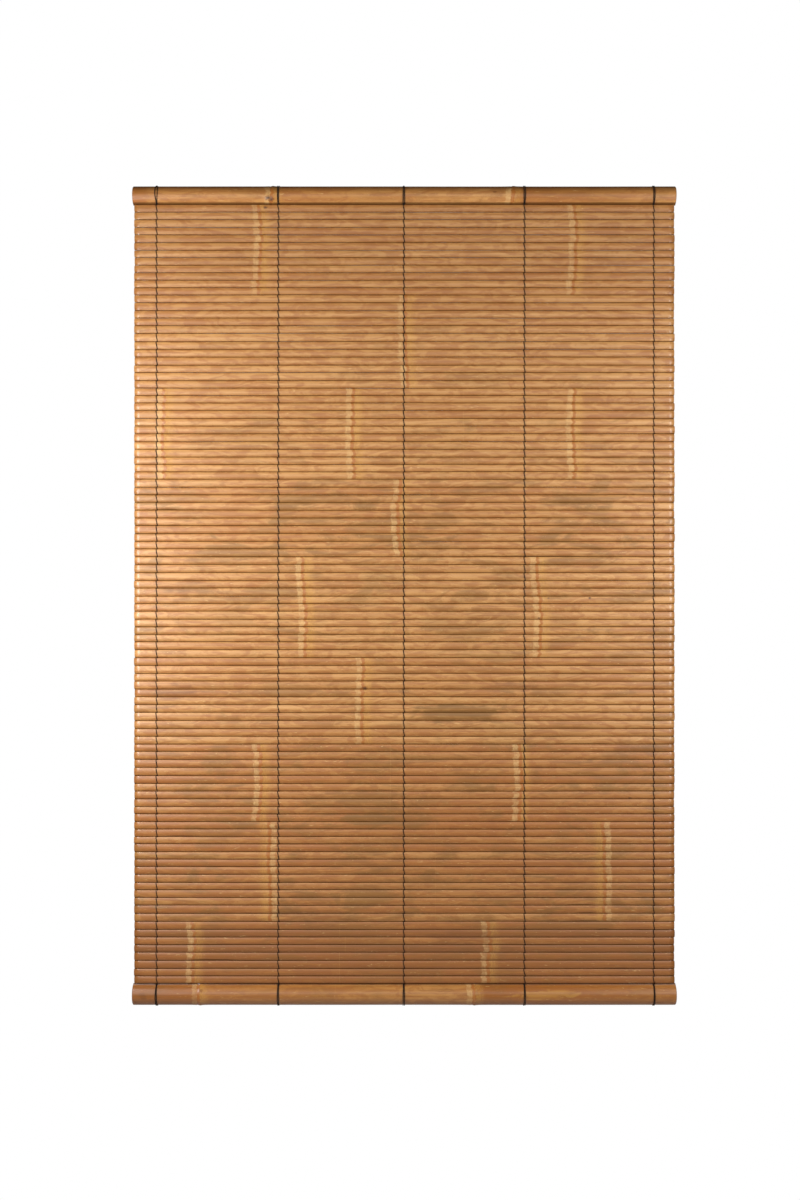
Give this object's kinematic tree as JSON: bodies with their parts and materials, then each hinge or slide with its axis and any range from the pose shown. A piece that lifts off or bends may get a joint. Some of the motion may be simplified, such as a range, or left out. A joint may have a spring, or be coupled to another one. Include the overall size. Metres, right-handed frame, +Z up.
{
  "type": "bamboo roll up blind",
  "caption": "Roll-up blind of flat bamboo slats, twined together by dark warp cords between split-culm rails and hung from steel plates.",
  "frame": {"origin": "midway between the hanger plates' hook holes, on the plane of the plates' backs", "axes": "+X along the slats, +Y towards the wall or window, +Z up; the blind hangs down at full length"},
  "size_m": [1, 0.024, 1.5141],
  "materials": {
    "slat_bamboo": "clear satin lacquer on bamboo skin",
    "rail_bamboo": "clear satin lacquer on bamboo skin",
    "twine": "dark brown twisted twine",
    "steel": "zinc plated"
  },
  "bodies": {
    "head": {"head_rail": "rail_bamboo", "hanger_plates": "steel", "hanger_screws": "steel", "warp_cords": "twine"},
    "slats_001_002": {"slats_001_002": "slat_bamboo"},
    "slats_003_004": {"slats_003_004": "slat_bamboo"},
    "slats_005_006": {"slats_005_006": "slat_bamboo"},
    "slats_007_008": {"slats_007_008": "slat_bamboo"},
    "slats_009_010": {"slats_009_010": "slat_bamboo"},
    "slats_011_012": {"slats_011_012": "slat_bamboo"},
    "slats_013_014": {"slats_013_014": "slat_bamboo"},
    "slats_015_016": {"slats_015_016": "slat_bamboo"},
    "slats_017_018": {"slats_017_018": "slat_bamboo"},
    "slats_019_020": {"slats_019_020": "slat_bamboo"},
    "slats_021_022": {"slats_021_022": "slat_bamboo"},
    "slats_023_024": {"slats_023_024": "slat_bamboo"},
    "slats_025_026": {"slats_025_026": "slat_bamboo"},
    "slats_027_028": {"slats_027_028": "slat_bamboo"},
    "slats_029_030": {"slats_029_030": "slat_bamboo"},
    "slats_031_032": {"slats_031_032": "slat_bamboo"},
    "slats_033_034": {"slats_033_034": "slat_bamboo"},
    "slats_035_036": {"slats_035_036": "slat_bamboo"},
    "slats_037_038": {"slats_037_038": "slat_bamboo"},
    "slats_039_040": {"slats_039_040": "slat_bamboo"},
    "slats_041_042": {"slats_041_042": "slat_bamboo"},
    "slats_043_044": {"slats_043_044": "slat_bamboo"},
    "slats_045_046": {"slats_045_046": "slat_bamboo"},
    "slats_047_048": {"slats_047_048": "slat_bamboo"},
    "slats_049_050": {"slats_049_050": "slat_bamboo"},
    "slats_051_052": {"slats_051_052": "slat_bamboo"},
    "slats_053_054": {"slats_053_054": "slat_bamboo"},
    "slats_055_056": {"slats_055_056": "slat_bamboo"},
    "slats_057_058": {"slats_057_058": "slat_bamboo"},
    "slats_059_060": {"slats_059_060": "slat_bamboo"},
    "slats_061_062": {"slats_061_062": "slat_bamboo"},
    "slats_063_064": {"slats_063_064": "slat_bamboo"},
    "slats_065_066": {"slats_065_066": "slat_bamboo"},
    "slats_067_068": {"slats_067_068": "slat_bamboo"},
    "slats_069_070": {"slats_069_070": "slat_bamboo"},
    "slats_071_072": {"slats_071_072": "slat_bamboo"},
    "slats_073_074": {"slats_073_074": "slat_bamboo"},
    "slats_075_076": {"slats_075_076": "slat_bamboo"},
    "slats_077_078": {"slats_077_078": "slat_bamboo"},
    "slats_079_080": {"slats_079_080": "slat_bamboo"},
    "slats_081_082": {"slats_081_082": "slat_bamboo"},
    "slats_083_084": {"slats_083_084": "slat_bamboo"},
    "slats_085_086": {"slats_085_086": "slat_bamboo"},
    "slats_087_088": {"slats_087_088": "slat_bamboo"},
    "slats_089_090": {"slats_089_090": "slat_bamboo"},
    "slats_091_092": {"slats_091_092": "slat_bamboo"},
    "slat_093": {"slat_093": "slat_bamboo"},
    "slat_094": {"slat_094": "slat_bamboo"},
    "slat_095": {"slat_095": "slat_bamboo"},
    "slat_096": {"slat_096": "slat_bamboo"},
    "slat_097": {"slat_097": "slat_bamboo"},
    "slat_098": {"slat_098": "slat_bamboo"},
    "slat_099": {"slat_099": "slat_bamboo"},
    "slat_100": {"slat_100": "slat_bamboo"},
    "slat_101": {"slat_101": "slat_bamboo"},
    "bottom_rail": {"bottom_rail": "rail_bamboo"}
  },
  "joints": [
    {"name": "fold_001_head_rail", "type": "hinge", "parent": "head", "child": "slats_001_002", "pos_m": [0, -0.0114, -0.01795], "axis": [-1, 0, 0], "range_deg": [-5, 65], "deforming": ["warp_cords"]},
    {"name": "fold_003", "type": "hinge", "parent": "slats_001_002", "child": "slats_003_004", "pos_m": [0, -0.00945, -0.04557], "axis": [1, 0, 0], "range_deg": [-5, 24.5]},
    {"name": "fold_005", "type": "hinge", "parent": "slats_003_004", "child": "slats_005_006", "pos_m": [0, -0.00945, -0.07361], "axis": [1, 0, 0], "range_deg": [-5, 25.5]},
    {"name": "fold_007", "type": "hinge", "parent": "slats_005_006", "child": "slats_007_008", "pos_m": [0, -0.00945, -0.10195], "axis": [1, 0, 0], "range_deg": [-5, 25.5]},
    {"name": "fold_009", "type": "hinge", "parent": "slats_007_008", "child": "slats_009_010", "pos_m": [0, -0.00945, -0.12972], "axis": [1, 0, 0], "range_deg": [-5, 25]},
    {"name": "fold_011", "type": "hinge", "parent": "slats_009_010", "child": "slats_011_012", "pos_m": [0, -0.00945, -0.15734], "axis": [1, 0, 0], "range_deg": [-5, 25]},
    {"name": "fold_013", "type": "hinge", "parent": "slats_011_012", "child": "slats_013_014", "pos_m": [0, -0.00945, -0.18442], "axis": [1, 0, 0], "range_deg": [-5, 26]},
    {"name": "fold_015", "type": "hinge", "parent": "slats_013_014", "child": "slats_015_016", "pos_m": [0, -0.00945, -0.21336], "axis": [1, 0, 0], "range_deg": [-5, 26.5]},
    {"name": "fold_017", "type": "hinge", "parent": "slats_015_016", "child": "slats_017_018", "pos_m": [0, -0.00945, -0.24076], "axis": [1, 0, 0], "range_deg": [-5, 27]},
    {"name": "fold_019", "type": "hinge", "parent": "slats_017_018", "child": "slats_019_020", "pos_m": [0, -0.00945, -0.27025], "axis": [1, 0, 0], "range_deg": [-5, 27.5]},
    {"name": "fold_021", "type": "hinge", "parent": "slats_019_020", "child": "slats_021_022", "pos_m": [0, -0.00945, -0.29871], "axis": [1, 0, 0], "range_deg": [-5, 27.5]},
    {"name": "fold_023", "type": "hinge", "parent": "slats_021_022", "child": "slats_023_024", "pos_m": [0, -0.00945, -0.32726], "axis": [1, 0, 0], "range_deg": [-5, 27.5]},
    {"name": "fold_025", "type": "hinge", "parent": "slats_023_024", "child": "slats_025_026", "pos_m": [0, -0.00945, -0.35603], "axis": [1, 0, 0], "range_deg": [-5, 27.5]},
    {"name": "fold_027", "type": "hinge", "parent": "slats_025_026", "child": "slats_027_028", "pos_m": [0, -0.00945, -0.38328], "axis": [1, 0, 0], "range_deg": [-5, 27.5]},
    {"name": "fold_029", "type": "hinge", "parent": "slats_027_028", "child": "slats_029_030", "pos_m": [0, -0.00945, -0.41201], "axis": [1, 0, 0], "range_deg": [-5, 28.5]},
    {"name": "fold_031", "type": "hinge", "parent": "slats_029_030", "child": "slats_031_032", "pos_m": [0, -0.00945, -0.44011], "axis": [1, 0, 0], "range_deg": [-5, 28.5]},
    {"name": "fold_033", "type": "hinge", "parent": "slats_031_032", "child": "slats_033_034", "pos_m": [0, -0.00945, -0.46864], "axis": [1, 0, 0], "range_deg": [-5, 28.5]},
    {"name": "fold_035", "type": "hinge", "parent": "slats_033_034", "child": "slats_035_036", "pos_m": [0, -0.00945, -0.49649], "axis": [1, 0, 0], "range_deg": [-5, 28.5]},
    {"name": "fold_037", "type": "hinge", "parent": "slats_035_036", "child": "slats_037_038", "pos_m": [0, -0.00945, -0.52375], "axis": [1, 0, 0], "range_deg": [-5, 29]},
    {"name": "fold_039", "type": "hinge", "parent": "slats_037_038", "child": "slats_039_040", "pos_m": [0, -0.00945, -0.55245], "axis": [1, 0, 0], "range_deg": [-5, 30]},
    {"name": "fold_041", "type": "hinge", "parent": "slats_039_040", "child": "slats_041_042", "pos_m": [0, -0.00945, -0.58079], "axis": [1, 0, 0], "range_deg": [-5, 30]},
    {"name": "fold_043", "type": "hinge", "parent": "slats_041_042", "child": "slats_043_044", "pos_m": [0, -0.00945, -0.60888], "axis": [1, 0, 0], "range_deg": [-5, 31]},
    {"name": "fold_045", "type": "hinge", "parent": "slats_043_044", "child": "slats_045_046", "pos_m": [0, -0.00945, -0.63823], "axis": [1, 0, 0], "range_deg": [-5, 31.5]},
    {"name": "fold_047", "type": "hinge", "parent": "slats_045_046", "child": "slats_047_048", "pos_m": [0, -0.00945, -0.66643], "axis": [1, 0, 0], "range_deg": [-5, 31.5]},
    {"name": "fold_049", "type": "hinge", "parent": "slats_047_048", "child": "slats_049_050", "pos_m": [0, -0.00945, -0.69562], "axis": [1, 0, 0], "range_deg": [-5, 32]},
    {"name": "fold_051", "type": "hinge", "parent": "slats_049_050", "child": "slats_051_052", "pos_m": [0, -0.00945, -0.72416], "axis": [1, 0, 0], "range_deg": [-5, 32.5]},
    {"name": "fold_053", "type": "hinge", "parent": "slats_051_052", "child": "slats_053_054", "pos_m": [0, -0.00945, -0.75284], "axis": [1, 0, 0], "range_deg": [-5, 33]},
    {"name": "fold_055", "type": "hinge", "parent": "slats_053_054", "child": "slats_055_056", "pos_m": [0, -0.00945, -0.78165], "axis": [1, 0, 0], "range_deg": [-5, 33]},
    {"name": "fold_057", "type": "hinge", "parent": "slats_055_056", "child": "slats_057_058", "pos_m": [0, -0.00945, -0.80955], "axis": [1, 0, 0], "range_deg": [-5, 33]},
    {"name": "fold_059", "type": "hinge", "parent": "slats_057_058", "child": "slats_059_060", "pos_m": [0, -0.00945, -0.83756], "axis": [1, 0, 0], "range_deg": [-5, 34]},
    {"name": "fold_061", "type": "hinge", "parent": "slats_059_060", "child": "slats_061_062", "pos_m": [0, -0.00945, -0.86665], "axis": [1, 0, 0], "range_deg": [-5, 35]},
    {"name": "fold_063", "type": "hinge", "parent": "slats_061_062", "child": "slats_063_064", "pos_m": [0, -0.00945, -0.89548], "axis": [1, 0, 0], "range_deg": [-5, 35.5]},
    {"name": "fold_065", "type": "hinge", "parent": "slats_063_064", "child": "slats_065_066", "pos_m": [0, -0.00945, -0.92448], "axis": [1, 0, 0], "range_deg": [-5, 36]},
    {"name": "fold_067", "type": "hinge", "parent": "slats_065_066", "child": "slats_067_068", "pos_m": [0, -0.00945, -0.95306], "axis": [1, 0, 0], "range_deg": [-5, 37]},
    {"name": "fold_069", "type": "hinge", "parent": "slats_067_068", "child": "slats_069_070", "pos_m": [0, -0.00945, -0.9829], "axis": [1, 0, 0], "range_deg": [-5, 37.5]},
    {"name": "fold_071", "type": "hinge", "parent": "slats_069_070", "child": "slats_071_072", "pos_m": [0, -0.00945, -1.01165], "axis": [1, 0, 0], "range_deg": [-5, 37]},
    {"name": "fold_073", "type": "hinge", "parent": "slats_071_072", "child": "slats_073_074", "pos_m": [0, -0.00945, -1.03975], "axis": [1, 0, 0], "range_deg": [-5, 38.5]},
    {"name": "fold_075", "type": "hinge", "parent": "slats_073_074", "child": "slats_075_076", "pos_m": [0, -0.00945, -1.06935], "axis": [1, 0, 0], "range_deg": [-5, 39.5]},
    {"name": "fold_077", "type": "hinge", "parent": "slats_075_076", "child": "slats_077_078", "pos_m": [0, -0.00945, -1.09805], "axis": [1, 0, 0], "range_deg": [-5, 39.5]},
    {"name": "fold_079", "type": "hinge", "parent": "slats_077_078", "child": "slats_079_080", "pos_m": [0, -0.00945, -1.12665], "axis": [1, 0, 0], "range_deg": [-5, 39.5]},
    {"name": "fold_081", "type": "hinge", "parent": "slats_079_080", "child": "slats_081_082", "pos_m": [0, -0.00945, -1.15428], "axis": [1, 0, 0], "range_deg": [-5, 39.5]},
    {"name": "fold_083", "type": "hinge", "parent": "slats_081_082", "child": "slats_083_084", "pos_m": [0, -0.00945, -1.18158], "axis": [1, 0, 0], "range_deg": [-5, 41]},
    {"name": "fold_085", "type": "hinge", "parent": "slats_083_084", "child": "slats_085_086", "pos_m": [0, -0.00945, -1.2098], "axis": [1, 0, 0], "range_deg": [-5, 42]},
    {"name": "fold_087", "type": "hinge", "parent": "slats_085_086", "child": "slats_087_088", "pos_m": [0, -0.00945, -1.23725], "axis": [1, 0, 0], "range_deg": [-5, 43.5]},
    {"name": "fold_089", "type": "hinge", "parent": "slats_087_088", "child": "slats_089_090", "pos_m": [0, -0.00945, -1.2662], "axis": [1, 0, 0], "range_deg": [-5, 45.5]},
    {"name": "fold_091", "type": "hinge", "parent": "slats_089_090", "child": "slats_091_092", "pos_m": [0, -0.00945, -1.29392], "axis": [1, 0, 0], "range_deg": [-5, 48]},
    {"name": "fold_093", "type": "hinge", "parent": "slats_091_092", "child": "slat_093", "pos_m": [0, -0.00945, -1.32316], "axis": [1, 0, 0], "range_deg": [-5, 38.5]},
    {"name": "fold_094", "type": "hinge", "parent": "slat_093", "child": "slat_094", "pos_m": [0, -0.00945, -1.33796], "axis": [1, 0, 0], "range_deg": [-5, 26.5]},
    {"name": "fold_095", "type": "hinge", "parent": "slat_094", "child": "slat_095", "pos_m": [0, -0.00945, -1.35284], "axis": [1, 0, 0], "range_deg": [-5, 26.5]},
    {"name": "fold_096", "type": "hinge", "parent": "slat_095", "child": "slat_096", "pos_m": [0, -0.00945, -1.36671], "axis": [1, 0, 0], "range_deg": [-5, 27]},
    {"name": "fold_097", "type": "hinge", "parent": "slat_096", "child": "slat_097", "pos_m": [0, -0.00945, -1.38083], "axis": [1, 0, 0], "range_deg": [-5, 28.5]},
    {"name": "fold_098", "type": "hinge", "parent": "slat_097", "child": "slat_098", "pos_m": [0, -0.00945, -1.39484], "axis": [1, 0, 0], "range_deg": [-5, 30.5]},
    {"name": "fold_099", "type": "hinge", "parent": "slat_098", "child": "slat_099", "pos_m": [0, -0.00945, -1.40975], "axis": [1, 0, 0], "range_deg": [-5, 33.5]},
    {"name": "fold_100", "type": "hinge", "parent": "slat_099", "child": "slat_100", "pos_m": [0, -0.00945, -1.42478], "axis": [1, 0, 0], "range_deg": [-5, 33.5]},
    {"name": "fold_101", "type": "hinge", "parent": "slat_100", "child": "slat_101", "pos_m": [0, -0.00945, -1.43844], "axis": [1, 0, 0], "range_deg": [-5, 33.5]},
    {"name": "fold_bottom_rail", "type": "hinge", "parent": "slat_101", "child": "bottom_rail", "pos_m": [0, -0.00945, -1.45215], "axis": [1, 0, 0], "range_deg": [-5, 81]}
  ]
}
